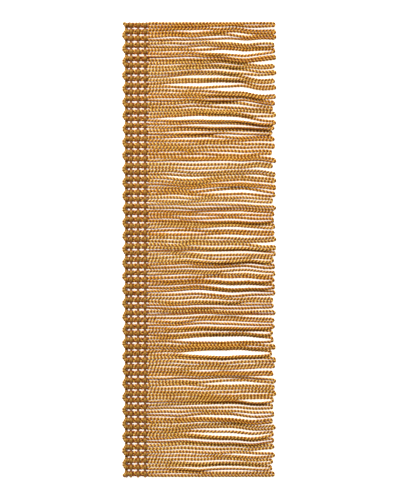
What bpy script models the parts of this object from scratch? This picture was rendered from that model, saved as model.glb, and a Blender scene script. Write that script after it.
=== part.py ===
"""Cord fringe trim, laid flat: a narrow knitted heading with a skirt of looped chain-stitch cords."""

import math
import random
from collections import namedtuple

import bmesh
import bpy
import numpy as np

MM = 0.001
WELD = 0.001 * MM

# The trim's own sizes. X runs across it from the scalloped edge to the loop tips, Y along it.
ROWS = 68
ROW_PITCH = 2.676 * MM
LENGTH = ROWS * ROW_PITCH
WIDTH = 61.8 * MM
LEFT_EDGE = -WIDTH / 2

# The heading, 10.2 mm wide at its scallops
SCALLOP_DEPTH = 1.0 * MM
SCALLOP_REACH = 0.62  # half a scallop's length along the edge, in rows
FLANK_HEIGHT = 0.3  # on a row's two flanks, as a share of its full height

# The strip that carries the fringe, parted from the heading's edge
STRIP_START = 10.65 * MM
STRIP_WIDTH = 0.9 * MM
STRIP_BASE = 0.12 * MM
STRIP_TOP = 1.35 * MM

# The cords, two to a row
CORDS = 2 * ROWS
CORD_PITCH = ROW_PITCH / 2
CORD_WIDTH = 1.1 * MM
CORD_HEIGHT = 1.1 * MM
CLEARANCE = 0.06 * MM
SKIRT = WIDTH - STRIP_START  # from the strip to the longest loop's tip
LEG_STEP = 7 * MM
LEG_START = -0.15 * MM  # the cords run right through the strip and end just behind it

# Heights across the heading: along a weft row, where the pillar stitches make knots over the
# cords, and between two rows, where only the warp threads cross.
Column = namedtuple("Column", "across over_row between")
COLUMNS = [
    Column(1.0 * MM, 0.9 * MM, 0.7 * MM),  # the edge, before the scallops push it out
    Column(1.9 * MM, 1.9 * MM, 1.2 * MM),  # first wale
    Column(2.8 * MM, 1.3 * MM, 0.6 * MM),
    Column(3.7 * MM, 2.0 * MM, 1.1 * MM),  # second wale
    Column(5.1 * MM, 1.3 * MM, 0.5 * MM),
    Column(6.5 * MM, 2.0 * MM, 1.1 * MM),  # third wale
    Column(8.0 * MM, 1.3 * MM, 0.5 * MM),
    Column(9.3 * MM, 2.0 * MM, 1.1 * MM),  # fourth wale
    Column(10.2 * MM, 1.2 * MM, 0.6 * MM),
]

# The partings that show between the cords. Each lies after so many cords from the upper end, runs
# from one distance out from the strip to another, in mm, and opens by so many mm. One that runs to
# the tips is a wedge, and any other is a lens.
TIPS = 52
WEDGE_TURN = 2.3  # a wedge is widest a little before the tips
BLUNTNESS = 0.75  # below 1, a parting opens early and stays open along its middle
Parting = namedtuple("Parting", "after start end opening")
PARTINGS = [
    Parting(*row)
    for row in (
        (1, 36, 48, 0.3), (2, 24, 33, 0.3), (2, 36, TIPS, 0.8), (3, 9, 27, 0.6), (4, 31, 43, 0.8),
        (5, 1, 17, 0.5), (5, 18, 36, 0.6), (6, 7, 21, 0.4), (6, 22, TIPS, 1.1), (7, 1, 16, 0.35),
        (7, 42, 50, 0.4), (8, 16, 27, 0.6), (9, 2, 17, 0.4), (9, 18, 50, 1.3), (10, 30, TIPS, 0.5),
        (11, 1, 26, 0.4), (12, 40, TIPS, 1.5), (13, 2, 15, 0.3), (13, 23, 39, 0.4),
        (14, 38, TIPS, 0.5), (15, 6, 19, 0.3), (15, 18, 46, 0.75), (16, 37, TIPS, 1.2),
        (17, 7, 39, 0.9), (18, 39, TIPS, 0.5), (19, 5, 40, 1.2), (20, 0, 20, 0.35),
        (20, 21, TIPS, 1.7), (21, 2, 16, 0.3), (21, 18, 28, 0.35), (22, 46, TIPS, 0.6),
        (23, 0, 15, 0.3), (23, 20, 36, 0.35), (24, 35, 47, 0.5), (25, 4, 23, 0.35), (25, 23, 46, 0.8),
        (26, 8, 36, 0.35), (27, 35, 50, 0.6), (28, 42, TIPS, 1.0), (29, 1, 50, 1.3), (31, 5, 12, 0.3),
        (31, 11, 47, 0.7), (33, 4, 28, 0.5), (33, 28, 50, 0.35), (34, 25, 43, 0.5), (35, 3, 34, 0.7),
        (36, 3, 21, 0.3), (36, 34, TIPS, 0.6), (37, 11, 48, 0.35), (38, 15, TIPS, 0.4),
        (39, 2, 17, 0.35), (39, 19, 46, 0.6), (40, 9, 28, 0.5), (40, 44, TIPS, 0.8), (42, 0, 50, 0.65),
        (43, 2, 38, 0.4), (44, 8, 38, 0.5), (44, 38, TIPS, 1.0), (45, 3, 17, 0.3), (46, 4, 27, 0.7),
        (46, 27, 36, 0.25), (46, 38, 50, 0.65), (47, 2, 11, 0.3), (48, 23, TIPS, 0.45),
        (50, 14, 31, 0.4), (50, 42, TIPS, 0.45), (51, 19, 51, 1.1), (52, 1, 24, 0.45),
        (52, 24, 50, 0.4), (53, 2, 18, 0.45), (53, 34, 50, 0.3), (54, 15, TIPS, 0.6), (55, 3, 36, 0.4),
        (56, 3, 18, 0.3), (57, 19, 50, 0.55), (58, 8, 30, 0.45), (58, 35, 50, 0.4), (59, 2, 15, 0.3),
        (59, 17, 51, 0.7), (61, 44, 51, 0.35), (62, 1, 16, 0.3), (62, 18, 51, 0.9), (63, 1, 24, 0.65),
        (64, 7, 20, 0.3), (64, 20, 50, 0.9), (65, 1, 17, 0.35), (65, 17, 36, 0.35), (66, 2, 15, 0.3),
        (66, 40, TIPS, 1.1), (67, 14, 44, 0.55), (69, 14, 50, 0.8), (70, 0, 13, 0.3),
        (70, 22, 40, 0.4), (71, 2, 36, 0.35), (71, 41, 50, 0.5), (73, 2, 19, 0.35), (73, 37, 50, 0.45),
        (74, 0, TIPS, 0.5), (75, 28, 51, 0.6), (76, 0, 23, 0.4), (77, 1, 20, 0.35), (77, 20, 50, 1.0),
        (79, 1, 20, 0.35), (79, 20, 51, 1.0), (81, 2, 50, 0.85), (82, 2, 26, 0.35),
        (82, 34, TIPS, 0.45), (83, 1, 38, 0.5), (84, 36, 47, 0.3), (85, 2, 47, 0.45),
        (86, 24, TIPS, 0.4), (88, 0, 34, 0.45), (88, 34, TIPS, 0.7), (89, 1, 19, 0.4),
        (90, 16, 50, 0.5), (91, 1, 50, 0.55), (93, 1, 38, 0.45), (93, 39, 51, 0.75), (95, 9, 51, 1.8),
        (96, 0, 17, 0.4), (96, 45, TIPS, 0.4), (97, 38, 46, 0.35), (99, 1, 12, 0.3), (99, 12, 50, 2.0),
        (101, 1, 51, 0.5), (102, 1, 22, 0.3), (102, 30, 47, 0.35), (103, 1, 16, 0.35),
        (104, 15, 30, 0.6), (104, 31, TIPS, 0.8), (106, 0, 12, 0.4), (106, 41, TIPS, 0.6),
        (107, 7, 36, 0.4), (108, 20, 50, 1.1), (109, 1, 25, 0.5), (110, 0, 45, 0.35),
        (111, 23, 51, 0.45), (112, 8, 19, 0.3), (113, 36, 51, 0.9), (115, 4, 51, 0.6),
        (116, 0, 20, 0.4), (116, 20, TIPS, 0.5), (117, 1, 21, 0.4), (117, 33, 51, 0.6),
        (118, 0, 13, 0.35), (118, 13, 50, 0.95), (120, 0, 31, 0.35), (120, 44, TIPS, 0.35),
        (121, 1, 10, 0.3), (122, 16, 48, 0.9), (123, 13, 51, 1.0), (125, 1, 51, 0.55),
        (127, 1, 42, 0.45), (128, 0, 41, 0.45), (128, 41, TIPS, 1.0), (129, 1, 27, 0.35),
        (129, 29, 48, 0.65), (130, 0, 26, 0.35), (131, 8, 39, 0.5), (131, 43, 50, 0.35),
        (133, 7, 51, 0.55), (134, 22, 43, 0.55), (135, 1, 21, 0.35),
    )
]

# How the cords lie. Each is held to its own course, against springs between neighbours.
HOLD = 0.12
END_HOLD = 60.0  # of the first and the last cord
FIRM = 30.0  # the spring of an open parting or of a loop's tip
ROOT_FIRMNESS = 8.0
ROOT_LENGTH = 5 * MM
LEAST_SPACING = 0.76 * MM
SETTLING_ROUNDS = 300
WANDER = 0.22 * MM
SHARED_LEAN = 9  # cords that lean together
TOUCHING = 1.18 * MM  # between two cords that lie against each other
TOUCHING_GRIP = 6.0
SMOOTHING = 9  # steps of a millimetre over which a cord's bends are evened out
CALM_ENDS = 6  # cords at each end of the trim that lean less

# The loops at the tips. Some have two cords that turn inside the two beside them.
LOOP_SPACING = 1.22 * MM
CLOSING_BEFORE = 12 * MM  # a loop's legs start to close this far before its tip
CLOSING_LENGTH = 7 * MM
UNEVEN = 1.7 * MM  # the shortest loop ends this far before the longest
MOST_ARE_LONG = 1.5
NESTED_CHANCE = 0.5
NESTED_SPACING = 1.0 * MM
NESTED_SHORTER = 1.8 * MM
PARTS_TIPS = 44  # a parting that ends beyond this keeps two loops apart
PAIR_TURN_STEPS = 4
NESTED_TURN_STEPS = 6
SEED = 7


def smooth_step(value):
    value = np.clip(value, 0, 1)
    return value * value * (3 - 2 * value)


def opening_at(parting, out):
    """How far a parting is open at a distance out from the strip."""
    share = float(np.clip((out / MM - parting.start) / (parting.end - parting.start), 0, 1))
    turn = WEDGE_TURN if parting.end == TIPS else math.pi
    return parting.opening * MM * math.sin(turn * share) ** BLUNTNESS


def wanders(outs):
    """Small slow leanings that neighbouring cords share: a lean towards the tips and a belly midway."""
    chance = np.random.default_rng(SEED)
    window = np.hanning(SHARED_LEAN)
    raw = chance.normal(0, 1, (2, CORDS + SHARED_LEAN - 1))
    lean, belly = (np.convolve(row, window, "valid") / np.linalg.norm(window) for row in raw)
    share = (outs / SKIRT)[:, None]
    from_end = np.minimum(np.arange(CORDS), np.arange(CORDS)[::-1])
    calm = smooth_step(from_end / CALM_ENDS)
    return WANDER * calm * (lean * share + belly * np.sin(math.pi * share))


def pair_loops():
    """The loops as (first cord, last cord, how much shorter than the longest)."""
    chance = random.Random(SEED)
    parted = {parting.after for parting in PARTINGS if parting.end > PARTS_TIPS}
    loops = []
    first = 0
    while first < CORDS:
        short = UNEVEN * chance.random() ** MOST_ARE_LONG
        free = not parted & {first + 1, first + 2, first + 3}
        if free and 0 < first < CORDS - 4 and chance.random() < NESTED_CHANCE:
            loops.append((first, first + 3, short))
            loops.append((first + 1, first + 2, short + NESTED_SHORTER))
            first += 4
        else:
            loops.append((first, first + 1, short))
            first += 2
    least = min(short for _, _, short in loops)
    return [(a, b, short - least) for a, b, short in loops]


def lay_cords(outs, loops):
    """How far along the trim each cord lies, at every distance out from the strip.

    The cords are a row of springs: each is drawn to its own course, two neighbours lie against each
    other or are pushed apart by a parting, and the legs of a loop are held together at its tip."""
    courses = (np.arange(CORDS) + 0.5) * CORD_PITCH + wanders(outs)
    between = np.diff(np.eye(CORDS), axis=0)
    hold = np.full(CORDS, HOLD)
    hold[[0, -1]] = END_HOLD
    places = np.empty_like(courses)
    for row, out in enumerate(outs):
        past_root = smooth_step(out / ROOT_LENGTH)
        spacing = np.full(CORDS - 1, CORD_PITCH + past_root * (TOUCHING - CORD_PITCH))
        grip = np.full(CORDS - 1, TOUCHING_GRIP)
        for parting in PARTINGS:
            opening = opening_at(parting, out)
            if opening > 0:
                spacing[parting.after - 1] = max(spacing[parting.after - 1], TOUCHING + opening)
                grip[parting.after - 1] = FIRM
        least = np.full(CORDS - 1, LEAST_SPACING)
        for first, last, shorter in loops:
            paired = last - first == 1
            inner_tip = SKIRT - shorter - (0 if paired else NESTED_SHORTER)
            closing = float(smooth_step((out - inner_tip + CLOSING_BEFORE) / CLOSING_LENGTH))
            for gap in (first,) if paired else (first, last - 1):
                wanted = LOOP_SPACING if paired else NESTED_SPACING
                grip[gap] += closing * FIRM
                spacing[gap] = max(spacing[gap], closing * wanted)
                least[gap] += closing * (wanted - CLEARANCE - LEAST_SPACING)
        firm_hold = hold * (1 + ROOT_FIRMNESS * (1 - past_root))
        pull = between.T * grip
        matrix = np.diag(firm_hold) + pull @ between
        places[row] = np.linalg.solve(matrix, firm_hold * courses[row] + pull @ spacing)
        for _ in range(SETTLING_ROUNDS):
            short = np.clip(least - np.diff(places[row]), 0, None) / 2
            places[row, :-1] -= short
            places[row, 1:] += short
    window = np.hanning(SMOOTHING + 2)[1:-1]
    padded = np.pad(places, ((SMOOTHING // 2, SMOOTHING // 2), (0, 0)), mode="edge")
    return np.apply_along_axis(lambda line: np.convolve(line, window / window.sum(), "valid"), 0, padded)


def lift_cords(places):
    """How high each cord's underside lies. Every other cord rides up on its two neighbours where they
    press together, by as much as keeps the sloping sides of the cords apart."""
    spacing = np.diff(places, axis=1)
    needed = CORD_HEIGHT * (2 - 2 * (spacing - CLEARANCE) / CORD_WIDTH)
    needed = np.clip(needed, 0, None)
    lift = np.zeros_like(places)
    lift[:, :-1] = needed
    lift[:, 1:] = np.maximum(lift[:, 1:], needed)
    lift[:, ::2] = 0
    return lift


def paint(name, colour, roughness):
    """A plain Principled material."""
    material = bpy.data.materials.new(name)
    material.use_nodes = True
    shader = material.node_tree.nodes["Principled BSDF"]
    shader.inputs["Base Color"].default_value = (*colour, 1)
    shader.inputs["Roughness"].default_value = roughness
    shader.inputs["Metallic"].default_value = 0
    return material


def finish_piece(piece, collection, material, sharp_angle):
    """Puts a mesh object in the trim's collection, with its material and smooth shading."""
    collection.objects.link(piece)
    piece.data.materials.append(material)
    piece.data.shade_smooth()
    piece.data.set_sharp_from_angle(angle=math.radians(sharp_angle))


def scallop_push(place):
    """How far the edge is pushed out at a place counted in rows from the upper end. A scallop peaks at
    every second boundary between rows, the two cut ends included."""
    from_peak = (place + 1) % 2 - 1
    return SCALLOP_DEPTH * math.sqrt(max(0, 1 - (from_peak / SCALLOP_REACH) ** 2))


def heading_rows():
    """Along the heading: each line of points as (place from the upper end, share of a row's height,
    how far the scallop pushes the edge out)."""
    lines = [(0, FLANK_HEIGHT, scallop_push(0))]
    for row in range(ROWS):
        for part, share in ((1 / 6, FLANK_HEIGHT), (1 / 2, 1), (5 / 6, FLANK_HEIGHT)):
            lines.append(((row + part) * ROW_PITCH, share, scallop_push(row + part)))
    lines.append((LENGTH, FLANK_HEIGHT, scallop_push(ROWS)))
    return lines


def make_heading(collection):
    """The knitted band: a sheet of points raised into rows and knots, with a flat underside."""
    lines = heading_rows()
    mesh = bpy.data.meshes.new("heading")
    bm = bmesh.new()
    bmesh.ops.create_grid(bm, x_segments=len(COLUMNS) - 1, y_segments=len(lines) - 1, size=1)
    bm.verts.ensure_lookup_table()
    for number, point in enumerate(bm.verts):
        along, share, push = lines[number // len(COLUMNS)]
        column = COLUMNS[number % len(COLUMNS)]
        point.co.x = LEFT_EDGE + column.across
        if column is COLUMNS[0]:
            point.co.x -= push
        point.co.y = LENGTH / 2 - along
        point.co.z = column.between + share * (column.over_row - column.between)
    rim = [edge for edge in bm.edges if edge.is_boundary]
    walls = bmesh.ops.extrude_edge_only(bm, edges=rim)["geom"]
    for point in (item for item in walls if isinstance(item, bmesh.types.BMVert)):
        point.co.z = 0
    base = [edge for edge in bm.edges if edge.is_boundary]
    bmesh.ops.contextual_create(bm, geom=base)
    bmesh.ops.recalc_face_normals(bm, faces=bm.faces)
    bm.to_mesh(mesh)
    bm.free()
    heading = bpy.data.objects.new("heading", mesh)
    finish_piece(heading, collection, paint("knitted heading", (0.33, 0.19, 0.05), 0.6), 60)


def loop_path(first, last, short, outs, places, lifts):
    """Points of one loop: out along its first cord, round the tip and back along its last."""
    tip = SKIRT - short - CORD_WIDTH / 2
    ends = [np.interp(tip, outs, places[:, cord]) for cord in (first, last)]
    reach = tip - (ends[1] - ends[0]) / 2
    stops = [out for out in outs if out < reach - MM] + [reach]
    legs = []
    for cord in (first, last):
        along = np.interp(stops, outs, places[:, cord])
        height = np.interp(stops, outs, lifts[:, cord])
        legs.append(np.column_stack([stops, along, height]))
    out_leg, back_leg = legs[0], legs[1][::-1]
    middle = (out_leg[-1] + back_leg[0]) / 2
    half = (back_leg[0] - out_leg[-1]) / 2
    steps = PAIR_TURN_STEPS if last - first == 1 else NESTED_TURN_STEPS
    turn = []
    for step in range(1, steps):
        angle = math.pi * step / steps
        point = middle - half * math.cos(angle)
        point[0] += (tip - reach) * math.sin(angle)
        turn.append(point)
    return np.vstack([out_leg, turn, back_leg])


def make_cord_section():
    """The cords' three-sided section, lying on its flat side, as a guide for the curves' bevel."""
    curve = bpy.data.curves.new("cord section", "CURVE")
    curve.dimensions = "2D"
    corners = [(-CORD_WIDTH / 2, 0), (CORD_WIDTH / 2, 0), (0, CORD_HEIGHT)]
    outline = curve.splines.new("POLY")
    outline.points.add(len(corners) - 1)
    for point, (across, up) in zip(outline.points, corners):
        point.co = (across, up, 0, 1)
    outline.use_cyclic_u = True
    section = bpy.data.objects.new("cord section", curve)
    section.hide_render = True
    section.display_type = "WIRE"
    return section


def make_cords(guides):
    """All loops as one mesh object, swept along their paths."""
    section = make_cord_section()
    guides.objects.link(section)
    loops = pair_loops()
    every_mm = np.append(np.arange(0, SKIRT, MM), SKIRT)
    laid = lay_cords(every_mm, loops)
    outs = np.append(LEG_START + LEG_STEP * np.arange(7), SKIRT)
    places = np.column_stack([np.interp(outs, every_mm, cord) for cord in laid.T])
    lifts = lift_cords(places)
    curve = bpy.data.curves.new("cords", "CURVE")
    curve.dimensions = "3D"
    curve.twist_mode = "Z_UP"
    curve.bevel_mode = "OBJECT"
    curve.bevel_object = section
    curve.use_fill_caps = True
    for first, last, short in loops:
        path = loop_path(first, last, short, outs, places, lifts)
        spline = curve.splines.new("POLY")
        spline.points.add(len(path) - 1)
        for point, (out, along, height) in zip(spline.points, path):
            point.co = (LEFT_EDGE + STRIP_START + out, LENGTH / 2 - along, height, 1)
    swept = bpy.data.objects.new("cords swept", curve)
    guides.objects.link(swept)
    bpy.context.view_layer.update()
    graph = bpy.context.evaluated_depsgraph_get()
    mesh = bpy.data.meshes.new_from_object(swept.evaluated_get(graph))
    bpy.data.objects.remove(swept)
    bm = bmesh.new()
    bm.from_mesh(mesh)
    bmesh.ops.remove_doubles(bm, verts=bm.verts, dist=WELD)
    bmesh.ops.recalc_face_normals(bm, faces=bm.faces)
    bm.to_mesh(mesh)
    bm.free()
    cords = bpy.data.objects.new("cords", mesh)
    cords.hide_render = True
    cords.display_type = "WIRE"
    guides.objects.link(cords)
    return cords


def make_fringe(collection, guides):
    """The narrow strip with all cords fused into it."""
    cords = make_cords(guides)
    mesh = bpy.data.meshes.new("fringe")
    bm = bmesh.new()
    bmesh.ops.create_cube(bm, size=1)
    bmesh.ops.scale(bm, vec=(STRIP_WIDTH, LENGTH, STRIP_TOP - STRIP_BASE), verts=bm.verts)
    centre = (LEFT_EDGE + STRIP_START + STRIP_WIDTH / 2, 0, (STRIP_TOP + STRIP_BASE) / 2)
    bmesh.ops.translate(bm, vec=centre, verts=bm.verts)
    bm.to_mesh(mesh)
    bm.free()
    fringe = bpy.data.objects.new("fringe", mesh)
    finish_piece(fringe, collection, paint("fringe cord", (0.56, 0.28, 0.06), 0.5), 50)
    join = fringe.modifiers.new("fuse the cords", "BOOLEAN")
    join.operation = "UNION"
    join.solver = "EXACT"
    join.object = cords


def main():
    for item in list(bpy.data.objects):
        bpy.data.objects.remove(item)
    trim = bpy.data.collections.new("cord fringe trim")
    guides = bpy.data.collections.new("guides")
    for collection in (trim, guides):
        bpy.context.scene.collection.children.link(collection)
    make_heading(trim)
    make_fringe(trim, guides)


main()
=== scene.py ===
# %% [markdown]
# # A cord fringe trim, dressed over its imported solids
#
# The real trim comes off a crochet machine in one go. A thin chain-stitch cord, gold and shiny, is laid to
# and fro across a narrow band, two cords to a row, and four chains of warp thread bind the rows. On one
# side the cord turns back in small scallops. On the other it runs on for five centimetres as long, uncut
# loops, which are the fringe. Everything here is therefore one thing: yarn drawn into chains of loops.
#
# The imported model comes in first. It is the fixed frame: its two solids keep their place, and the yarn
# made below is laid where they lie.

# %% Load the frame
import math
import random
from collections import namedtuple

import bpy
import numpy as np
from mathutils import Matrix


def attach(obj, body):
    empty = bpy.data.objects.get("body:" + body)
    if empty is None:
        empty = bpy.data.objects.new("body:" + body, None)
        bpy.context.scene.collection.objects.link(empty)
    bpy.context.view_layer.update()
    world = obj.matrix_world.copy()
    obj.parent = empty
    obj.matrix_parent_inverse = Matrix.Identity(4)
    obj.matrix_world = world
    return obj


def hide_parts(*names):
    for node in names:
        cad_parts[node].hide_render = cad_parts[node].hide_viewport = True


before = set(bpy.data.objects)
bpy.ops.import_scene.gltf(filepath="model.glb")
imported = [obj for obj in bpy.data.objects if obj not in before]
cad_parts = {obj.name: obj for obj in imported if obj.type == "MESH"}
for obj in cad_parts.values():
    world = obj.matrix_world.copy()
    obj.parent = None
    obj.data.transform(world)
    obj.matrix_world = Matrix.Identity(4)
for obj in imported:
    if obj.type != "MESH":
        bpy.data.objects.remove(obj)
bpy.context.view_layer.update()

MM = 0.001

# %% [markdown]
# ## The camera
#
# The photograph looks straight down on the trim, which lies flat with its heading on the left. A long lens
# held well above keeps the cords at the frame's edge from leaning. The frame takes in 160 by 200 mm.

# %% Look straight down
FRAME_HEIGHT = 200 * MM
FRAME_MIDDLE = (0.3 * MM, -0.2 * MM)
LENS_MM = 100
SENSOR_MM = 36
camera_data = bpy.data.cameras.new("camera")
camera_data.lens = LENS_MM
camera_data.sensor_width = SENSOR_MM
camera = bpy.data.objects.new("camera", camera_data)
camera.location = (*FRAME_MIDDLE, FRAME_HEIGHT * LENS_MM / SENSOR_MM)
bpy.context.scene.collection.objects.link(camera)
bpy.context.scene.camera = camera
print("camera height in mm:", round(camera.location.z / MM))

# %% [markdown]
# ## The light and the table
#
# The trim was photographed on plain white under broad, even light, with hardly a shadow. A white sky, two
# large soft lamps and a white table do that. The lamp beyond the upper edge is the stronger one, so each
# stitch has a bright side and a deep one. The Standard view keeps the white table white.

# %% Make the sky and the lamps
SKY_WHITE = (1, 1, 1, 1)
SKY_STRENGTH = 0.14
# name, place and size in metres, power in watts
LAMPS = [
    ("upper lamp", (-0.3, 0.68, 0.62), 0.3, 13.0),
    ("lower lamp", (0.35, -0.55, 0.8), 0.6, 2.2),
]


def aim(lamp):
    """Turns a lamp so that it shines at the middle of the table."""
    way = -np.array(lamp.location)
    flat = math.hypot(way[0], way[1])
    lamp.rotation_euler = (math.atan2(flat, -way[2]), 0, math.atan2(way[1], way[0]) - math.pi / 2)


world = bpy.data.worlds.new("studio")
world.use_nodes = True
world.node_tree.nodes["Background"].inputs["Color"].default_value = SKY_WHITE
world.node_tree.nodes["Background"].inputs["Strength"].default_value = SKY_STRENGTH
bpy.context.scene.world = world
bpy.context.scene.view_settings.view_transform = "Standard"
for name, place, size, power in LAMPS:
    lamp_data = bpy.data.lights.new(name, "AREA")
    lamp_data.size = size
    lamp_data.energy = power
    lamp = bpy.data.objects.new(name, lamp_data)
    lamp.location = place
    aim(lamp)
    bpy.context.scene.collection.objects.link(lamp)
print("lamps:", len(LAMPS))

# %% [markdown]
# The table glows, as overexposed white paper does in a photograph. Its own light comes up through the
# heading's holes and between the cords, where a table that only reflects would look grey.

# %% Make the table
FLOOR_SIZE = 6.0
FLOOR_WHITE = (0.78, 0.75, 0.70)
FLOOR_GLOW_COLOUR = (1, 0.97, 0.9)
FLOOR_GLOW = 0.95
FLOOR_ROUGHNESS = 0.9
FLOOR_SHINE = 0.1
floor_mesh = bpy.data.meshes.new("floor")
corner = FLOOR_SIZE / 2
floor_mesh.from_pydata(
    [(-corner, -corner, 0), (corner, -corner, 0), (corner, corner, 0), (-corner, corner, 0)],
    [],
    [(0, 1, 2, 3)],
)
floor = bpy.data.objects.new("floor", floor_mesh)
bpy.context.scene.collection.objects.link(floor)
floor_paint = bpy.data.materials.new("white table")
floor_paint.use_nodes = True
floor_shader = floor_paint.node_tree.nodes["Principled BSDF"]
floor_shader.inputs["Base Color"].default_value = (*FLOOR_WHITE, 1)
floor_shader.inputs["Roughness"].default_value = FLOOR_ROUGHNESS
floor_shader.inputs["Emission Color"].default_value = (*FLOOR_GLOW_COLOUR, 1)
floor_shader.inputs["Emission Strength"].default_value = FLOOR_GLOW
floor_shader.inputs["Specular IOR Level"].default_value = FLOOR_SHINE
floor.data.materials.append(floor_paint)
print("table across in metres:", FLOOR_SIZE)

# %% [markdown]
# ## The trim's sizes
#
# These are the sizes of the solids, in millimetres: 68 rows of two cords each, a heading a little over
# 10 mm wide, and a skirt of loops that starts at a narrow strip beside it. Working in millimetres keeps the
# numbers easy to read, and they become metres only when a mesh is made.

# %% Repeat the solids' sizes
ROWS = 68
ROW_PITCH = 2.676
LENGTH = ROWS * ROW_PITCH
WIDTH = 61.8
LEFT_EDGE = -WIDTH / 2
CORDS = 2 * ROWS
CORD_PITCH = ROW_PITCH / 2
STRIP_START = 10.65  # from the left edge
CORD_WIDTH = 1.1
CORD_HEIGHT = 1.1
CLEARANCE = 0.06  # between two cords
SKIRT = WIDTH - STRIP_START  # from the strip to the longest loop's tip
print("trim in mm:", round(WIDTH, 1), "by", round(LENGTH, 1), "with", CORDS, "cords")

# %% [markdown]
# ## How the cords lie
#
# Real cords lie side by side, and here and there they part and let the table show. The photograph's
# partings are kept as a list: after which cord, from how far out to how far out, and how wide. A parting
# that runs to the tips is a wedge, and any other is a lens.

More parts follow.
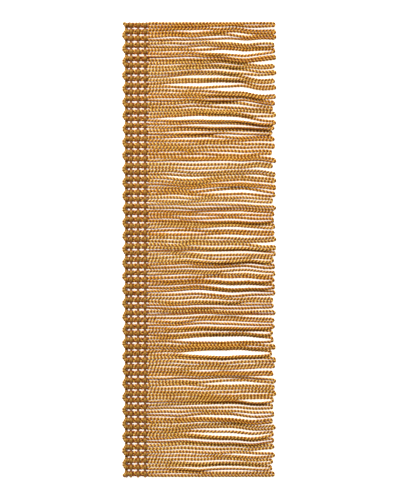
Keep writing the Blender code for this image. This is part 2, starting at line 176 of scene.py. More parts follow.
# %% List the partings
TIPS = 52  # the end of a parting that runs past the tips
WEDGE_TURN = 2.3  # a wedge is widest two thirds of the way out
BLUNTNESS = 0.75  # below 1, a parting opens early and stays open along its middle
Parting = namedtuple("Parting", "after start end opening")
PARTINGS = [
    Parting(*row)
    for row in (
        (1, 36, 48, 0.3), (2, 24, 33, 0.3), (2, 36, TIPS, 0.8), (3, 9, 27, 0.6), (4, 31, 43, 0.8),
        (5, 1, 17, 0.5), (5, 18, 36, 0.6), (6, 7, 21, 0.4), (6, 22, TIPS, 1.1), (7, 1, 16, 0.35),
        (7, 42, 50, 0.4), (8, 16, 27, 0.6), (9, 2, 17, 0.4), (9, 18, 50, 1.3), (10, 30, TIPS, 0.5),
        (11, 1, 26, 0.4), (12, 40, TIPS, 1.5), (13, 2, 15, 0.3), (13, 23, 39, 0.4),
        (14, 38, TIPS, 0.5), (15, 6, 19, 0.3), (15, 18, 46, 0.75), (16, 37, TIPS, 1.2),
        (17, 7, 39, 0.9), (18, 39, TIPS, 0.5), (19, 5, 40, 1.2), (20, 0, 20, 0.35),
        (20, 21, TIPS, 1.7), (21, 2, 16, 0.3), (21, 18, 28, 0.35), (22, 46, TIPS, 0.6),
        (23, 0, 15, 0.3), (23, 20, 36, 0.35), (24, 35, 47, 0.5), (25, 4, 23, 0.35), (25, 23, 46, 0.8),
        (26, 8, 36, 0.35), (27, 35, 50, 0.6), (28, 42, TIPS, 1.0), (29, 1, 50, 1.3), (31, 5, 12, 0.3),
        (31, 11, 47, 0.7), (33, 4, 28, 0.5), (33, 28, 50, 0.35), (34, 25, 43, 0.5), (35, 3, 34, 0.7),
        (36, 3, 21, 0.3), (36, 34, TIPS, 0.6), (37, 11, 48, 0.35), (38, 15, TIPS, 0.4),
        (39, 2, 17, 0.35), (39, 19, 46, 0.6), (40, 9, 28, 0.5), (40, 44, TIPS, 0.8), (42, 0, 50, 0.65),
        (43, 2, 38, 0.4), (44, 8, 38, 0.5), (44, 38, TIPS, 1.0), (45, 3, 17, 0.3), (46, 4, 27, 0.7),
        (46, 27, 36, 0.25), (46, 38, 50, 0.65), (47, 2, 11, 0.3), (48, 23, TIPS, 0.45),
        (50, 14, 31, 0.4), (50, 42, TIPS, 0.45), (51, 19, 51, 1.1), (52, 1, 24, 0.45),
        (52, 24, 50, 0.4), (53, 2, 18, 0.45), (53, 34, 50, 0.3), (54, 15, TIPS, 0.6), (55, 3, 36, 0.4),
        (56, 3, 18, 0.3), (57, 19, 50, 0.55), (58, 8, 30, 0.45), (58, 35, 50, 0.4), (59, 2, 15, 0.3),
        (59, 17, 51, 0.7), (61, 44, 51, 0.35), (62, 1, 16, 0.3), (62, 18, 51, 0.9), (63, 1, 24, 0.65),
        (64, 7, 20, 0.3), (64, 20, 50, 0.9), (65, 1, 17, 0.35), (65, 17, 36, 0.35), (66, 2, 15, 0.3),
        (66, 40, TIPS, 1.1), (67, 14, 44, 0.55), (69, 14, 50, 0.8), (70, 0, 13, 0.3),
        (70, 22, 40, 0.4), (71, 2, 36, 0.35), (71, 41, 50, 0.5), (73, 2, 19, 0.35), (73, 37, 50, 0.45),
        (74, 0, TIPS, 0.5), (75, 28, 51, 0.6), (76, 0, 23, 0.4), (77, 1, 20, 0.35), (77, 20, 50, 1.0),
        (79, 1, 20, 0.35), (79, 20, 51, 1.0), (81, 2, 50, 0.85), (82, 2, 26, 0.35),
        (82, 34, TIPS, 0.45), (83, 1, 38, 0.5), (84, 36, 47, 0.3), (85, 2, 47, 0.45),
        (86, 24, TIPS, 0.4), (88, 0, 34, 0.45), (88, 34, TIPS, 0.7), (89, 1, 19, 0.4),
        (90, 16, 50, 0.5), (91, 1, 50, 0.55), (93, 1, 38, 0.45), (93, 39, 51, 0.75), (95, 9, 51, 1.8),
        (96, 0, 17, 0.4), (96, 45, TIPS, 0.4), (97, 38, 46, 0.35), (99, 1, 12, 0.3), (99, 12, 50, 2.0),
        (101, 1, 51, 0.5), (102, 1, 22, 0.3), (102, 30, 47, 0.35), (103, 1, 16, 0.35),
        (104, 15, 30, 0.6), (104, 31, TIPS, 0.8), (106, 0, 12, 0.4), (106, 41, TIPS, 0.6),
        (107, 7, 36, 0.4), (108, 20, 50, 1.1), (109, 1, 25, 0.5), (110, 0, 45, 0.35),
        (111, 23, 51, 0.45), (112, 8, 19, 0.3), (113, 36, 51, 0.9), (115, 4, 51, 0.6),
        (116, 0, 20, 0.4), (116, 20, TIPS, 0.5), (117, 1, 21, 0.4), (117, 33, 51, 0.6),
        (118, 0, 13, 0.35), (118, 13, 50, 0.95), (120, 0, 31, 0.35), (120, 44, TIPS, 0.35),
        (121, 1, 10, 0.3), (122, 16, 48, 0.9), (123, 13, 51, 1.0), (125, 1, 51, 0.55),
        (127, 1, 42, 0.45), (128, 0, 41, 0.45), (128, 41, TIPS, 1.0), (129, 1, 27, 0.35),
        (129, 29, 48, 0.65), (130, 0, 26, 0.35), (131, 8, 39, 0.5), (131, 43, 50, 0.35),
        (133, 7, 51, 0.55), (134, 22, 43, 0.55), (135, 1, 21, 0.35),
    )
]


def smooth_step(value):
    """Rises from 0 to 1 without a corner, while the value does so evenly."""
    value = np.clip(value, 0, 1)
    return value * value * (3 - 2 * value)


def opening_at(parting, out):
    """How far a parting is open at a distance out from the strip."""
    share = float(np.clip((out - parting.start) / (parting.end - parting.start), 0, 1))
    turn = WEDGE_TURN if parting.end == TIPS else math.pi
    return parting.opening * math.sin(turn * share) ** BLUNTNESS


print("partings:", len(PARTINGS))

# %% [markdown]
# Each loop of the fringe has two cords side by side. Where no parting keeps four cords apart at the tips, a
# draw may turn one loop inside another instead, though with these partings it never does. How much shorter
# than the longest a loop is comes from a draw too. The draws are seeded, so they are the same at every run
# and the same as in the solids.

# %% Pair the cords into loops
SEED = 7
UNEVEN = 1.7  # the shortest loop ends about this far before the longest
MOST_ARE_LONG = 1.5  # above 1, few loops are much shorter
NESTED_CHANCE = 0.5
NESTED_SHORTER = 1.8  # a loop inside another ends this far before it
PARTS_TIPS = 44  # a parting that ends beyond this keeps two loops apart


def pair_loops():
    """The loops as (first cord, last cord, how much shorter than the longest)."""
    chance = random.Random(SEED)
    parted = {parting.after for parting in PARTINGS if parting.end > PARTS_TIPS}
    loops = []
    first = 0
    while first < CORDS:
        short = UNEVEN * chance.random() ** MOST_ARE_LONG
        free = not parted & {first + 1, first + 2, first + 3}
        if free and 0 < first < CORDS - 4 and chance.random() < NESTED_CHANCE:
            loops.append((first, first + 3, short))
            loops.append((first + 1, first + 2, short + NESTED_SHORTER))
            first += 4
        else:
            loops.append((first, first + 1, short))
            first += 2
    least = min(short for _, _, short in loops)
    return [(a, b, short - least) for a, b, short in loops]


LOOPS = pair_loops()
print("loops:", len(LOOPS), "with another inside:", sum(last - first > 1 for first, last, _ in LOOPS))

# %% [markdown]
# A row of springs lays the cords: each is drawn to its own course, two neighbours are pushed apart where a
# parting opens between them, and the legs of a loop draw together near its tip. Solving that once for
# every millimetre out from the heading gives smooth, slightly uneven lines, as gravity and handling do.

# %% Lay the cords
HOLD = 0.12  # of a cord to its own course
END_HOLD = 60.0  # of the first and the last cord
FIRM = 30.0  # the spring of an open parting or of a loop's tip
ROOT_FIRMNESS = 8.0  # how much firmer a cord is held where it leaves the strip
ROOT_LENGTH = 5
LEAST_SPACING = 0.76  # of two cords that press together
SETTLING_ROUNDS = 300
WANDER = 0.22
SHARED_LEAN = 9  # cords that lean together
CALM_ENDS = 6  # cords at each end of the trim that lean less
TOUCHING = 1.18  # spacing of two cords that lie against each other
TOUCHING_GRIP = 6.0
LOOP_SPACING = 1.12  # of a loop's legs near its tip
NESTED_SPACING = 1.0
CLOSING_BEFORE = 12  # a loop's legs start to close this far before its tip
CLOSING_LENGTH = 7
SMOOTHING = 9  # steps of a millimetre over which a cord's bends are evened out


def wanders(outs):
    """Small slow leanings that neighbouring cords share: a lean towards the tips and a belly midway."""
    chance = np.random.default_rng(SEED)
    window = np.hanning(SHARED_LEAN)
    raw = chance.normal(0, 1, (2, CORDS + SHARED_LEAN - 1))
    lean, belly = (np.convolve(row, window, "valid") / np.linalg.norm(window) for row in raw)
    share = (outs / SKIRT)[:, None]
    from_end = np.minimum(np.arange(CORDS), np.arange(CORDS)[::-1])
    calm = smooth_step(from_end / CALM_ENDS)
    return WANDER * calm * (lean * share + belly * np.sin(math.pi * share))


def lay_cords(outs):
    """How far from the trim's upper end each cord lies, at every millimetre out from the strip."""
    courses = (np.arange(CORDS) + 0.5) * CORD_PITCH + wanders(outs)
    between = np.diff(np.eye(CORDS), axis=0)
    hold = np.full(CORDS, HOLD)
    hold[[0, -1]] = END_HOLD
    places = np.empty_like(courses)
    for row, out in enumerate(outs):
        past_root = smooth_step(out / ROOT_LENGTH)
        spacing = np.full(CORDS - 1, CORD_PITCH + past_root * (TOUCHING - CORD_PITCH))
        grip = np.full(CORDS - 1, TOUCHING_GRIP)
        for parting in PARTINGS:
            opening = opening_at(parting, out)
            if opening > 0:
                spacing[parting.after - 1] = max(spacing[parting.after - 1], TOUCHING + opening)
                grip[parting.after - 1] = FIRM
        least = np.full(CORDS - 1, LEAST_SPACING)
        for first, last, shorter in LOOPS:
            paired = last - first == 1
            inner_tip = SKIRT - shorter - (0 if paired else NESTED_SHORTER)
            closing = float(smooth_step((out - inner_tip + CLOSING_BEFORE) / CLOSING_LENGTH))
            for gap in (first,) if paired else (first, last - 1):
                wanted = LOOP_SPACING if paired else NESTED_SPACING
                grip[gap] += closing * FIRM
                spacing[gap] = max(spacing[gap], closing * wanted)
                least[gap] += closing * (wanted - CLEARANCE - LEAST_SPACING)
        firm_hold = hold * (1 + ROOT_FIRMNESS * (1 - past_root))
        pull = between.T * grip
        matrix = np.diag(firm_hold) + pull @ between
        places[row] = np.linalg.solve(matrix, firm_hold * courses[row] + pull @ spacing)
        for _ in range(SETTLING_ROUNDS):
            short = np.clip(least - np.diff(places[row]), 0, None) / 2
            places[row, :-1] -= short
            places[row, 1:] += short
    window = np.hanning(SMOOTHING + 2)[1:-1]
    padded = np.pad(places, ((SMOOTHING // 2, SMOOTHING // 2), (0, 0)), mode="edge")
    return np.apply_along_axis(lambda line: np.convolve(line, window / window.sum(), "valid"), 0, padded)


def lift_cords(places):
    """How far each cord is lifted. Every other cord rides up on its neighbours where they press."""
    spacing = np.diff(places, axis=1)
    needed = np.clip(CORD_HEIGHT * (2 - 2 * (spacing - CLEARANCE) / CORD_WIDTH), 0, None)
    lift = np.zeros_like(places)
    lift[:, :-1] = needed
    lift[:, 1:] = np.maximum(lift[:, 1:], needed)
    lift[:, ::2] = 0
    return lift


OUTS = np.append(np.arange(0, SKIRT, 1.0), SKIRT)
PLACES = lay_cords(OUTS)
LIFTS = lift_cords(PLACES)
openings = [sum(opening_at(parting, out) for parting in PARTINGS) for out in OUTS[::5]]
print("openings together in mm, every 5 mm out:", np.round(openings, 1))
print("closest cords in mm:", round(np.diff(PLACES, axis=1).min(), 2), "highest lift:", round(LIFTS.max(), 2))

# %% [markdown]
# ## One stitch, and a chain of them
#
# A chain-stitch cord is a row of loops, each drawn through the one before. Seen from its face, each loop
# is a V whose point comes out of the loop behind it. Seen from the side, the loops are slanting lines. A
# closed ring of yarn that leans back does both: its point is high and its round head low, and the next
# ring's point covers that head. The same ring, longer and flatter, makes the warp chains of the heading.
#
# A ring is drawn once, as a list of points along, across and above the cord's own line. A chain repeats it
# at every stitch and bends it with the line. Sweeping a small circle round each ring gives the yarn.

# %% Shape one stitch of the cord
STITCH_PITCH = 1.42
YARN_RADIUS = 0.305
# along the cord, across it, up from its line, and how much painted shade the next stitch casts on it
HALF_RING = [
    (-0.66, 0.00, 0.30, 0.0),
    (-0.44, 0.20, 0.27, 0.0),
    (-0.20, 0.35, 0.17, 0.1),
    (0.20, 0.39, 0.00, 0.4),
    (0.62, 0.25, -0.24, 0.8),
    (0.90, 0.00, -0.30, 0.9),
]
half_ring = np.array(HALF_RING)
CORD_RING = np.vstack([half_ring, half_ring[-2:0:-1] * (1, -1, 1, 1)])
RING_POINTS = len(CORD_RING)
cord_across = 2 * (CORD_RING[:, 1].max() + YARN_RADIUS)
print("points of a stitch:", RING_POINTS, "cord across in mm:", round(cord_across, 2))

# %% [markdown]
# The closed rings and the open threads inside the chains are swept by the same code, many at once: both are
# tubes round a row of centres. Each tube's points become quads, numbered tube by tube and step by step.

# %% Number the quads of tubes
Tubes = namedtuple("Tubes", "centres ups axes radius drawn khaki")


def unit(vectors):
    """The same directions, one long."""
    return vectors / np.linalg.norm(vectors, axis=-1, keepdims=True)


def tube_quads(tubes, steps, sides, closed):
    """The four corners of every quad, for so many tubes of so many steps and sides."""
    spans = steps if closed else steps - 1
    tube, step, side = np.meshgrid(np.arange(tubes), np.arange(spans), np.arange(sides), indexing="ij")
    corners = [
        (tube * steps + (step + ahead) % steps) * sides + (side + turned) % sides
        for ahead, turned in ((0, 0), (0, 1), (1, 1), (1, 0))
    ]
    return np.stack(corners, axis=-1).reshape(-1, 4)


print("quads of a stitch of five sides:", len(tube_quads(1, RING_POINTS, 5, closed=True)))

# %% [markdown]
# The yarn carries notes for its finish: how far along and round the yarn each point is, a number drawn for
# the stitch and one for the cord, how much painted shade the point gets, deeper where it faces into the
# cord, and how much of it is khaki. A material reads such notes as attributes, so the finish follows the
# yarn and not the room.

# %% Sweep yarn into meshes
class Yarn:
    """Collects tubes of yarn and turns them into one mesh object."""

    def __init__(self, name):
        self.name = name
        self.points = []
        self.faces = []
        self.notes = {"yarn": [], "drawn": [], "painted_shade": [], "khaki": []}
        self.count = 0

    def add(self, tubes, sides, stitch_painted_shade, closed=True):
        """Sweeps a circle along tubes: centres and axes are [tube, point, 3], and ups is [tube, 3]."""
        centres = tubes.centres
        onward = np.roll(centres, -1, axis=1)
        way = onward - np.roll(centres, 1, axis=1) if closed else np.gradient(centres, axis=1)
        ahead = unit(way)
        side = unit(np.cross(ahead, tubes.ups[:, None]))
        over = np.cross(side, ahead)
        angle = 2 * math.pi * np.arange(sides) / sides
        cosine = np.cos(angle)
        sine = np.sin(angle)
        normals = cosine[:, None] * side[:, :, None] + sine[:, None] * over[:, :, None]
        points = centres[:, :, None] + tubes.radius[:, :, None, None] * normals
        outward = unit(points - tubes.axes[:, :, None])
        facing = (normals * outward).sum(axis=-1)
        step = np.linalg.norm(onward - centres, axis=-1)
        travelled = np.cumsum(step, axis=1) - step
        zeros = np.zeros(facing.shape)

        def all_round(values):
            """Repeats what a tube or a point has on every side of the yarn."""
            return np.broadcast_to(values, centres.shape[:2])[:, :, None] + zeros

        draws = [all_round(tubes.drawn[:, :1]), all_round(tubes.drawn[:, 1:]), zeros]
        self.notes["yarn"].append(np.stack([all_round(travelled), zeros + cosine, zeros + sine], axis=-1))
        self.notes["drawn"].append(np.stack(draws, axis=-1))
        # painted shade: darker the more a point faces into the cord, and never less than its stitch's painted
        # shade
        self.notes["painted_shade"].append(np.maximum(0.5 - 0.5 * facing, all_round(stitch_painted_shade)))
        self.notes["khaki"].append(all_round(tubes.khaki))
        self.points.append(points.reshape(-1, 3))
        self.faces.append(self.count + tube_quads(*centres.shape[:2], sides, closed))
        self.count += facing.size

    def make(self):
        """The mesh object, in metres, linked to the scene."""
        points = np.concatenate(self.points) * MM
        faces = np.concatenate(self.faces)
        mesh = bpy.data.meshes.new(self.name)
        mesh.vertices.add(len(points))
        mesh.vertices.foreach_set("co", points.astype(np.float32).ravel())
        mesh.loops.add(faces.size)
        mesh.loops.foreach_set("vertex_index", faces.astype(np.int32).ravel())
        mesh.polygons.add(len(faces))
        mesh.polygons.foreach_set("loop_start", np.arange(0, faces.size, 4, dtype=np.int32))
        mesh.update(calc_edges=True)
        mesh.validate()
        mesh.shade_smooth()
        for note, values in self.notes.items():
            kind, field = ("FLOAT", "value") if values[0].ndim == 3 else ("FLOAT_VECTOR", "vector")
            data = np.concatenate([value.ravel() for value in values]).astype(np.float32)
            mesh.attributes.new(note, kind, "POINT").data.foreach_set(field, data)
        piece = bpy.data.objects.new(self.name, mesh)
        bpy.context.scene.collection.objects.link(piece)
        print(self.name, "triangles:", 2 * len(faces))
        return piece


print("notes on the yarn:", ", ".join(Yarn("trial").notes))

# %% [markdown]
# A chain takes a line through space and puts a whole number of stitches on it. It works out where the line
# is, where it heads and what is up at every point of every ring, rolls the ring about the line, and hands
# the ring on. The stitches vary by a few per cent, as knitted ones do. Yarn that would sink into the table
# is lifted onto it, because a real cord lies a little flattened there.

# %% Put stitches on a line
SIZE_SPREAD = 0.04
ROLL_SPREAD = 5
Line = namedtuple("Line", "points roll girth khaki pitch radius")


def travelled_along(points):
    """How far along a line each of its points is."""
    steps = np.linalg.norm(np.diff(points, axis=0), axis=1)
    return np.concatenate([[0], np.cumsum(steps)])


def chain_rings(line, chance):
    """The rings of yarn that make a chain on a line."""
    travelled = travelled_along(line.points)
    number = max(1, round(travelled[-1] / line.pitch))
    pitch = travelled[-1] / number
    starts = (np.arange(number) + 0.5) * pitch
    along, aside, above = CORD_RING[:, :3].T
    size = 1 + chance.normal(0, SIZE_SPREAD, (number, 1))
    at = starts[:, None] + along * size * pitch / STITCH_PITCH
    inside = np.clip(at, 0, travelled[-1])

    def along_line(values, where):
        """Vectors given at a line's points, read anywhere on it."""
        return np.stack([np.interp(where, travelled, column) for column in values.T], axis=-1)

    ahead_of = unit(np.gradient(line.points, axis=0))
    axes = along_line(line.points, inside) + (at - inside)[..., None] * along_line(ahead_of, inside)
    ahead = unit(along_line(ahead_of, inside))
    across = unit(np.cross((0, 0, 1), ahead))
    up = np.cross(ahead, across)
    girth = np.interp(starts, travelled, line.girth)[:, None] * size
    roll = np.interp(starts, travelled, line.roll) + chance.normal(0, ROLL_SPREAD, number)
    cosine = np.cos(np.radians(roll))[:, None]
    sine = np.sin(np.radians(roll))[:, None]
    sideways = (aside * cosine - above * sine) * girth
    upwards = (aside * sine + above * cosine) * girth
    centres = axes + sideways[..., None] * across + upwards[..., None] * up
    middle = RING_POINTS // 4
    ups = cosine * up[:, middle] - sine * across[:, middle]
    radius = line.radius * np.broadcast_to(girth, at.shape)
    centres[..., 2] = np.maximum(centres[..., 2], radius)
    drawn = np.column_stack([chance.random(number), np.full(number, chance.random())])
    khaki = np.interp(starts, travelled, line.khaki)[:, None]
    return Tubes(centres, ups, axes, radius, drawn, khaki)


print("a stitch of yarn", 2 * YARN_RADIUS, "mm thick every", STITCH_PITCH, "mm")

# %% [markdown]
# ## The lines that the cords follow
#
# In the heading the two cords of a row lie tight together, with a slit of table between rows. Past the last
# warp chain they spread until all cords lie evenly. Each loop is one line: it starts under the first warp
# chain, goes out along its first cord, round its tip and back along its last.

# %% Trace a loop's line
WALES = (1.9, 3.7, 6.5, 9.3)  # the warp chains, from the left edge
LINE_STEP = 0.5
CORD_LEVEL = 0.6  # height of a cord's line over the table
ROW_SPACING = 0.98  # of a row's two cords in the heading
ROW_GIRTH = 1.03  # how full the cord's stitches are in the heading
SKIRT_GIRTH = 1.08
TIP_GIRTH = 0.96
SPREAD_START = 9.0  # from the left edge
SPREAD_LENGTH = 2.6
WEFT_START = 2.2  # from the left edge
TURN_STEPS = 12


def half_turn(steps):
    """Angles that go round half a circle, its two ends included."""
    return math.pi * np.arange(steps + 1) / steps


def cord_course(cord, across):
    """(from the upper end, height) of a cord's line at each distance from the left edge."""
    row = cord // 2
    side = cord % 2 - 0.5
    in_row = (row + 0.5) * ROW_PITCH + side * ROW_SPACING
    out = across - STRIP_START
    in_skirt = np.interp(out, OUTS, PLACES[:, cord])
    spread = smooth_step((across - SPREAD_START) / SPREAD_LENGTH)
    height = CORD_LEVEL + np.interp(out, OUTS, LIFTS[:, cord])
    return in_row + spread * (in_skirt - in_row), height


def loop_line(first, last, short):
    """One loop of the fringe, from under the first warp chain out to its tip and back."""
    tip = SKIRT - short - CORD_WIDTH / 2
    ends = [np.interp(tip, OUTS, PLACES[:, cord]) for cord in (first, last)]
    reach = tip - (ends[1] - ends[0]) / 2
    leg_end = STRIP_START + reach
    across = np.append(np.arange(WEFT_START, leg_end - LINE_STEP / 2, LINE_STEP), leg_end)
    legs = [np.column_stack([across, *cord_course(cord, across)]) for cord in (first, last)]
    out_leg, back_leg = legs[0], legs[1][::-1]
    middle = (out_leg[-1] + back_leg[0]) / 2
    half_width = (back_leg[0] - out_leg[-1]) / 2
    angle = half_turn(TURN_STEPS)[1:-1, None]
    turn = middle - half_width * np.cos(angle)
    turn[:, :1] += (tip - reach) * np.sin(angle)
    points = np.vstack([out_leg, turn, back_leg])
    spread = smooth_step((points[:, 0] - SPREAD_START) / SPREAD_LENGTH)
    from_root = np.clip((points[:, 0] - STRIP_START) / SKIRT, 0, 1)
    girth = ROW_GIRTH + (SKIRT_GIRTH - ROW_GIRTH) * spread + (TIP_GIRTH - SKIRT_GIRTH) * from_root
    return points, girth


first_line, _ = loop_line(*LOOPS[0])
print("first loop in mm:", round(travelled_along(first_line)[-1]), "with", len(first_line), "points")

# %% [markdown]
# A cord turns slowly about its own line as it lies, so that one stretch shows Vs and the next slanting
# stitches. Each leg gets its own seeded roll and drift, most of them near face up, and a wave runs along the
# whole loop. Round the tip, one leg's roll turns into the other's.

# %% Roll the cords
USUAL_ROLL = 34  # degrees, like the next two
ROLL_DRIFT = 22
ROLL_WAVE = 14
WAVES = (2, 5)  # fewest and most along a loop
OUT_MIDDLE = 0.5  # the middle of each leg, counted in legs
BACK_MIDDLE = 1.5
TIP_FROM = 0.46  # where the roll starts to change over, as a share of the loop
TIP_SHARE = 0.08


def roll_along(points, chance):
    """Degrees of roll at each point of a loop's line."""
    travelled = travelled_along(points)
    share = travelled / travelled[-1]
    legs = 2 * share
    leg_out = chance.normal(0, USUAL_ROLL) + chance.normal(0, ROLL_DRIFT) * (legs - OUT_MIDDLE)
    leg_back = chance.normal(0, USUAL_ROLL) + chance.normal(0, ROLL_DRIFT) * (legs - BACK_MIDDLE)
    wave = ROLL_WAVE * np.sin(2 * math.pi * (chance.uniform(*WAVES) * share + chance.random()))
    past_tip = smooth_step((share - TIP_FROM) / TIP_SHARE)
    return leg_out + past_tip * (leg_back - leg_out) + wave


trial_roll = roll_along(first_line, np.random.default_rng(SEED))
print("roll of a loop in degrees:", round(trial_roll.min()), "to", round(trial_roll.max()))

# %% [markdown]
# Inside each chain runs a plain thread, coloured in deep painted shade. The real cord is packed with yarn
# there, and without it the table would show through every stitch. It is cut at the heading's edge, so that
# each stretch belongs to the piece that hides it.

# %% Run a thread inside a chain
CORE_RADIUS = 0.45
CORE_SIDES = 6
CORE_PAINTED_SHADE = 0.95  # painted shade, nearly as deep as the finish goes
CORE_DRAWN = 0.5  # halfway between the palest stitch and the darkest
CORE_STEP = 2  # every second point of the line is enough
HEADING_END = 10.4  # from the left edge


def to_room(points):
    """From (from the left edge, from the upper end, height) to the frame's own x, y, z, in mm."""
    room = np.array(points, float)
    room[..., 0] += LEFT_EDGE
    room[..., 1] = LENGTH / 2 - room[..., 1]
    return room


def add_core(yarn, points, radius):
    """Adds the thread inside a chain as one open tube, in deep painted shade."""
    centres = points[None]
    tube = Tubes(centres, np.array([[0, 0, 1]]), centres, radius[None], np.full((1, 2), CORE_DRAWN), 0)
    yarn.add(tube, CORE_SIDES, CORE_PAINTED_SHADE, closed=False)


def add_loop_core(line, weft, skirt):
    """Adds the thread inside a loop: its two ends to the weft and the rest to the skirt."""
    points = line.points[::CORE_STEP]
    radius = CORE_RADIUS * line.girth[::CORE_STEP]
    within = np.flatnonzero(points[:, 0] < LEFT_EDGE + HEADING_END)
    leaves = within[within < len(points) / 2][-1]
    returns = within[within > len(points) / 2][0]
    add_core(weft, points[:leaves + 1], radius[:leaves + 1])
    add_core(skirt, points[leaves:returns + 1], radius[leaves:returns + 1])
    add_core(weft, points[returns:], radius[returns:])


print("thread inside in mm:", 2 * CORE_RADIUS)

# %% [markdown]
# Now the loops are stitched one by one. Their stitches go to the heading's weft as far as its edge and to
# one of four skirt pieces beyond, and under a warp chain they get painted shade.

# %% Stitch the loops
SIDES = 5
FRINGE_PARTS = 4
PITCH_RANGE = (0.85, 1.0)  # tightest and longest stitches, as shares of the stitch pitch
ROW_KHAKI = 0.15  # how dull the cord is in the heading
WALE_SHADE = 0.75  # how much painted shade the cord gets under a warp chain
WALE_CLEAR = 0.7  # how far from the chain its painted shade starts to fade
WALE_FADE = 0.35
chance = np.random.default_rng(SEED)
weft = Yarn("heading_weft")
skirts = [Yarn(f"fringe_cords_{number + 1}") for number in range(FRINGE_PARTS)]
for first, last, short in LOOPS:
    points, girth = loop_line(first, last, short)
    pitch = STITCH_PITCH * chance.uniform(*PITCH_RANGE)
    khaki = ROW_KHAKI * (points[:, 0] < SPREAD_START)
    yarn_radius = YARN_RADIUS * pitch / STITCH_PITCH
    line = Line(to_room(points), roll_along(points, chance), girth, khaki, pitch, yarn_radius)
    rings = chain_rings(line, chance)
    skirt = skirts[first * FRINGE_PARTS // CORDS]
    add_loop_core(line, weft, skirt)
    # painted shade on the stitches next to a warp chain
    from_wale = np.abs(rings.axes[..., :1] - LEFT_EDGE - np.array(WALES)).min(axis=-1)
    wale_painted_shade = WALE_SHADE * (1 - smooth_step((from_wale - WALE_CLEAR) / WALE_FADE))
    stitch_painted_shade = np.maximum(CORD_RING[:, 3], wale_painted_shade)
    in_heading = rings.axes[:, RING_POINTS // 2, 0] < LEFT_EDGE + HEADING_END
    for yarn, chosen in ((weft, in_heading), (skirt, ~in_heading)):
        yarn.add(Tubes(*(values[chosen] for values in rings)), SIDES, stitch_painted_shade[chosen])
skirt_pieces = [yarn.make() for yarn in skirts]

# %% [markdown]
# ## The turns along the edge
#
# At the heading's free edge the cord turns from one row into the next. Every second turn is left long and
# stands out as a scallop, and the turns between are drawn in tight. Both are half an oval. The trim was cut
# through a scallop at each end, so those two are halves. A scallop's cord is fuller, because the turn opens
# its stitches, and all the edge is duller than the skirt.

# %% Make the edge turns
SCALLOP_PEAK = 0.84  # from the left edge
TIGHT_PEAK = 1.5
SCALLOP_GIRTH = 1.28
TIGHT_GIRTH = 0.95
EDGE_LEVEL = 0.72
SCALLOP_HALF_LENGTH = 1.5
SCALLOP_PITCH = 0.85
END_MARGIN = 0.3  # left free at the cut ends
TURN_ROOT = WEFT_START + 0.5  # a turn starts and ends a little inside the rows
TURN_FULLNESS = 0.75  # below 1, the oval is blunt
TURN_ROLL = 20.0
TURN_KHAKI = 0.9
TURN_CORE = 0.4


def turn_line(boundary):
    """The cord's turn from the row above a boundary into the row below it."""
    scallop = boundary % 2 == 0
    peak = SCALLOP_PEAK if scallop else TIGHT_PEAK
    half_length = SCALLOP_HALF_LENGTH if scallop else (ROW_PITCH - ROW_SPACING) / 2
    angle = half_turn(TURN_STEPS)
    across = TURN_ROOT - (TURN_ROOT - peak) * np.sin(angle) ** TURN_FULLNESS
    along = boundary * ROW_PITCH - half_length * np.cos(angle)
    points = np.column_stack([across, along, np.full(len(angle), EDGE_LEVEL)])
    points = points[(along > END_MARGIN) & (along < LENGTH - END_MARGIN)]
    everywhere = np.ones(len(points))
    girth = everywhere * (SCALLOP_GIRTH if scallop else TIGHT_GIRTH)
    pitch = SCALLOP_PITCH if scallop else STITCH_PITCH
    return Line(to_room(points), everywhere * TURN_ROLL, girth, everywhere * TURN_KHAKI, pitch, YARN_RADIUS)


edge = Yarn("heading_edge")
for boundary in range(ROWS + 1):
    turn = turn_line(boundary)
    # a thread in deep painted shade under each turn darkens the hole inside it
    add_core(weft, turn.points, TURN_CORE * turn.girth)
    # the turns' stitches carry the ring's painted shade
    edge.add(chain_rings(turn, chance), SIDES, CORD_RING[:, 3])
print("turns along the edge:", ROWS + 1)

# %% [markdown]
# ## The warp chains
#
# Four chains of finer thread run the length of the heading. Each of their stitches arches over a row as a
# small round head, dips between two rows as a pair of legs, and ends under the next head. The half outline
# below says where one side of the stitch goes and how much painted shade each part gets. Its mirror image
# closes the ring. Beside the turns, the legs of the first chain lie in a row of dark spots of shade, so their
# painted shade is deepened.

# %% Make the warp chains
THREAD_RADIUS = 0.2
THREAD_SIDES = 6
THREAD_JITTER = 0.04
WALE_LEVEL = 0.9  # height of a warp chain's middle
FIRST_WALE_SHADE = 0.2  # below 1, the painted shade is deeper
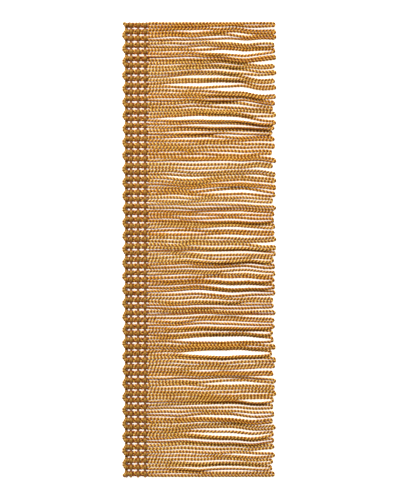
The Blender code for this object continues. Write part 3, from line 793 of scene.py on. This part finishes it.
# along the trim from the row's middle, across from the chain's line, height, thickness, how much painted
# shade
HALF_STITCH = [
    (-0.62, 0.00, 1.52, 1.5, 0.1),
    (-0.42, 0.24, 1.60, 1.5, 0.0),
    (-0.02, 0.34, 1.64, 1.5, 0.0),
    (0.36, 0.30, 1.56, 1.4, 0.1),
    (0.74, 0.28, 1.16, 1.2, 0.5),
    (1.20, 0.26, 0.80, 1.2, 0.7),
    (1.62, 0.24, 0.90, 1.2, 0.7),
    (2.10, 0.20, 1.30, 1.2, 0.4),
    (2.55, 0.00, 1.42, 1.2, 0.3),
]
half_stitch = np.array(HALF_STITCH)
warp_ring = np.vstack([half_stitch, half_stitch[-2:0:-1] * (1, -1, 1, 1, 1)])
for wale in WALES:
    size = 1 + chance.normal(0, SIZE_SPREAD, (ROWS, 1))
    along = (np.arange(ROWS)[:, None] + 0.5) * ROW_PITCH + warp_ring[:, 0]
    along = np.minimum(along, LENGTH - THREAD_RADIUS)
    across = wale + warp_ring[:, 1] * size + chance.normal(0, THREAD_JITTER, (ROWS, 1))
    height = np.broadcast_to(warp_ring[:, 2], along.shape)
    centres = to_room(np.stack([across, along, height], axis=-1))
    middle = [np.full(along.shape, wale), along, np.full(along.shape, WALE_LEVEL)]
    axes = to_room(np.stack(middle, axis=-1))
    ups = np.tile((0.0, 0.0, 1.0), (ROWS, 1))
    radius = THREAD_RADIUS * size * warp_ring[:, 3]
    drawn = np.column_stack([chance.random(ROWS), np.full(ROWS, chance.random())])
    # painted shade of the warp: parts in painted shade lose their khaki and take the gold's painted shade
    # colours
    shade = warp_ring[:, 4] ** (FIRST_WALE_SHADE if wale == WALES[0] else 1)
    edge.add(Tubes(centres, ups, axes, radius, drawn, 1 - shade), THREAD_SIDES, shade)
edge_piece = edge.make()
weft_piece = weft.make()

# %% [markdown]
# ## Finishes
#
# Shader maths is easier to read as sums. A small class holds one output of a node, and adding or
# multiplying two of them adds the node that does it.

# %% Write shader maths as Python
COLOUR_INPUTS = (6, 7)  # a Mix node's sockets for two colours, and for the colour between them
COLOUR_OUTPUT = 2


class Value:
    """A node's output, with arithmetic that adds Math nodes."""

    def __init__(self, finish, socket):
        self.finish = finish
        self.socket = socket

    def maths(self, operation, *others):
        """Adds a Math node that works on this value first."""
        inputs = dict(enumerate((self, *others)))
        return self.finish.node("ShaderNodeMath", {"operation": operation}, inputs)

    def __add__(self, other):
        return self.maths("ADD", other)

    def __rsub__(self, other):
        return self.finish.node("ShaderNodeMath", {"operation": "SUBTRACT"}, {0: other, 1: self})

    def __mul__(self, other):
        return self.maths("MULTIPLY", other)

    def __pow__(self, other):
        return self.maths("POWER", other)


class Finish:
    """A material whose nodes are made in code."""

    def __init__(self, name):
        self.material = bpy.data.materials.new(name)
        self.material.use_nodes = True
        self.tree = self.material.node_tree
        self.shader = self.tree.nodes["Principled BSDF"]

    def node(self, kind, settings, inputs, output=0):
        """Adds a node: its settings first, then the values or links of its sockets."""
        made = self.tree.nodes.new(kind)
        for setting, value in settings.items():
            setattr(made, setting, value)
        for socket, value in inputs.items():
            self.feed(made.inputs[socket], value)
        return Value(self, made.outputs[output])

    def feed(self, socket, value):
        """Links another node's output to a socket, or sets its value."""
        if isinstance(value, Value):
            self.tree.links.new(value.socket, socket)
        else:
            socket.default_value = value

    def mix(self, share, low, high):
        """A colour between two others."""
        colours = [colour if isinstance(colour, Value) else (*colour, 1) for colour in (low, high)]
        inputs = {0: share, **dict(zip(COLOUR_INPUTS, colours))}
        return self.node("ShaderNodeMix", {"data_type": "RGBA"}, inputs, COLOUR_OUTPUT)

    def note(self, name, output="Fac"):
        """What the yarn says of itself at a point."""
        return self.node("ShaderNodeAttribute", {"attribute_name": name}, {}, output)

    def three_notes(self, name):
        """A note that holds three numbers, as three values."""
        split = self.node("ShaderNodeSeparateXYZ", {}, {0: self.note(name, "Vector")})
        return [Value(self, socket) for socket in split.socket.node.outputs]


print("colour sockets of a Mix node:", COLOUR_INPUTS)

# %% [markdown]
# The cord is rayon: smooth, bright filaments with little twist. Painted shade darkens its colour inwards:
# clear gold on the outer side, then burnt orange, then a deep, saturated orange inside the loops, standing in
# for light that has gone from yarn to yarn. Each cord and each stitch is a shade apart. Fine ridges wind
# round the yarn as its filaments do. The khaki share turns the gold into the duller warp thread, and its
# painted shade is a deep khaki. The edge's turns and warp chains are rougher, with browner painted shade.

# %% Make the yarn's finish
GOLD = (0.80, 0.36, 0.018)
PALE_GOLD = (0.97, 0.70, 0.18)
PAINTED_SHADE_ORANGE = (0.19, 0.029, 0.0003)
PAINTED_SHADE_BROWN = (0.09, 0.022, 0.001)
PAINTED_HALF_SHADE_ORANGE = (0.52, 0.145, 0.002)
KHAKI = (0.43, 0.26, 0.05)
PAINTED_SHADE_KHAKI = (0.42, 0.1, 0.003)
CORD_SHARE = 0.6  # how much of the shade is the cord's own, and how much the stitch's
STITCH_SHARE = 0.4
LIGHT_FALL = 3.4  # how fast the clear gold gives way to painted shade inwards, and the burnt orange after it
HALF_LIGHT_FALL = 1.5
FILAMENTS = 9
FILAMENT_TWIST = 2.4
RIDGE_ROUGHNESS = 0.05
RIDGE_STRENGTH = 0.35
RIDGE_HEIGHT = 0.02 * MM
SHEEN_TINT = (1, 0.7, 0.22, 1)
SHINE_TINT = (1, 0.76, 0.34, 1)
SHINE = 0.4


def yarn_finish(name, sheen, roughness, painted_shade_colour):
    """Gold yarn with painted shade that darkens it inwards to a given colour, with ridges and a khaki share.
    """
    finish = Finish(name)
    travelled, cosine, sine = finish.three_notes("yarn")
    of_stitch, of_cord, _ = finish.three_notes("drawn")
    khaki = finish.note("khaki")
    lit = 1 - finish.note("painted_shade")
    # painted shade: from clear gold through burnt orange to the deepest painted shade colour
    light = lit ** LIGHT_FALL
    half_light = lit ** HALF_LIGHT_FALL
    cord_gold = finish.mix(of_cord * CORD_SHARE + of_stitch * STITCH_SHARE, GOLD, PALE_GOLD)
    gold = finish.mix(light, finish.mix(half_light, painted_shade_colour, PAINTED_HALF_SHADE_ORANGE), cord_gold)
    # painted shade on the khaki: deep khaki where the yarn lies in painted shade
    dull = finish.mix(light, PAINTED_SHADE_KHAKI, KHAKI)
    around = sine.maths("ARCTAN2", cosine)
    ridges = (around * FILAMENTS + travelled * (FILAMENT_TWIST * 2 * math.pi)).maths("SINE")
    relief = {"Height": ridges, "Strength": RIDGE_STRENGTH, "Distance": RIDGE_HEIGHT}
    looks = {
        "Base Color": finish.mix(khaki, gold, dull),
        "Roughness": ridges * RIDGE_ROUGHNESS + roughness,
        "Normal": finish.node("ShaderNodeBump", {}, relief),
        "Sheen Weight": sheen,
        "Sheen Tint": SHEEN_TINT,
        "Specular Tint": SHINE_TINT,
        "Specular IOR Level": SHINE,
    }
    for socket, value in looks.items():
        finish.feed(finish.shader.inputs[socket], value)
    return finish.material


cord_finish = yarn_finish("gold chain-stitch cord", sheen=0.1, roughness=0.34, painted_shade_colour=PAINTED_SHADE_ORANGE)
# the warp thread's painted shade ends in a brown
heading_finish = yarn_finish("khaki warp thread", sheen=0.15, roughness=0.5, painted_shade_colour=PAINTED_SHADE_BROWN)
for piece in (weft_piece, *skirt_pieces):
    piece.data.materials.append(cord_finish)
edge_piece.data.materials.append(heading_finish)
print("finishes:", cord_finish.name, "and", heading_finish.name)

# %% [markdown]
# ## Hand the pieces to the frame
#
# Every piece lies still with the trim's one body. The yarn stands for the two solids.

# %% Attach the pieces and hide the solids
for piece in (edge_piece, weft_piece):
    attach(piece, "root")
    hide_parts("heading")
for piece in skirt_pieces:
    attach(piece, "root")
    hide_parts("fringe")
